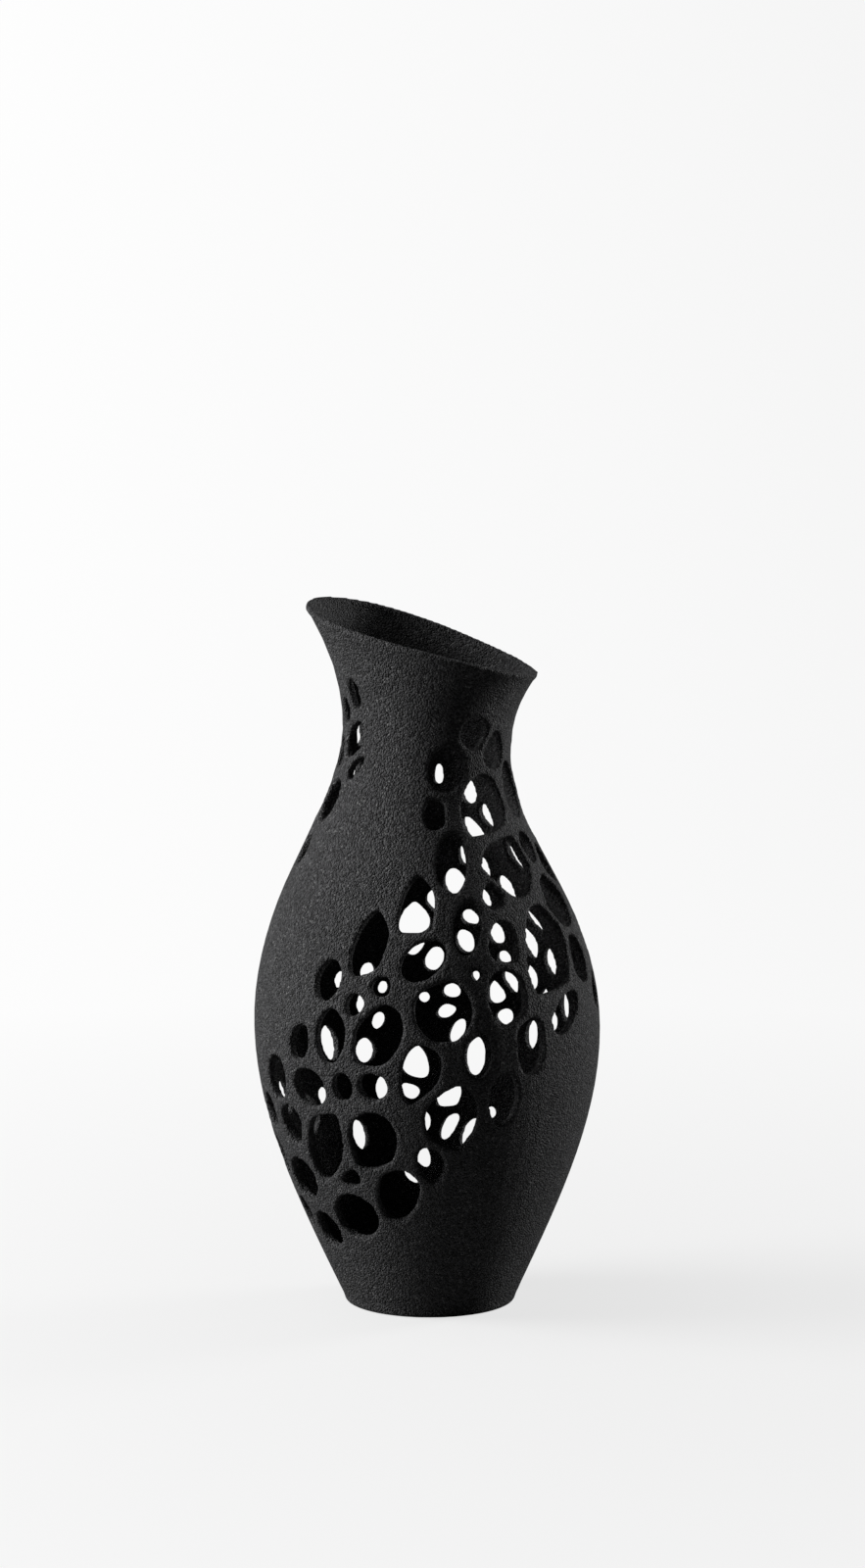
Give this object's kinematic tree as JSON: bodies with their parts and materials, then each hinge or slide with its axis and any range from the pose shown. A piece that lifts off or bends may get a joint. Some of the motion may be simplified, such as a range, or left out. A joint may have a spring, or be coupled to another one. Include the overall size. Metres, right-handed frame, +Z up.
{
  "type": "openwork clay vase",
  "caption": "Tall black clay vase with a round belly, a narrow neck and a slanted flaring mouth, its wall cut through by a rising band of rounded openings.",
  "frame": {"origin": "centre of the foot's flat face, on the surface that the vase stands on", "axes": "+Z up; -Y is the front, where the openwork band rises from lower left to upper right; the rim is highest on the -X side"},
  "size_m": [0.148, 0.1479, 0.301],
  "materials": {
    "black_clay": "matte, fine sandy grain with small bright specks"
  },
  "bodies": {
    "root": {"floor_slab": "black_clay", "lower_wall": "black_clay", "belly_wall": "black_clay", "shoulder_wall": "black_clay", "neck_wall": "black_clay", "mouth_wall": "black_clay"}
  },
  "joints": []
}
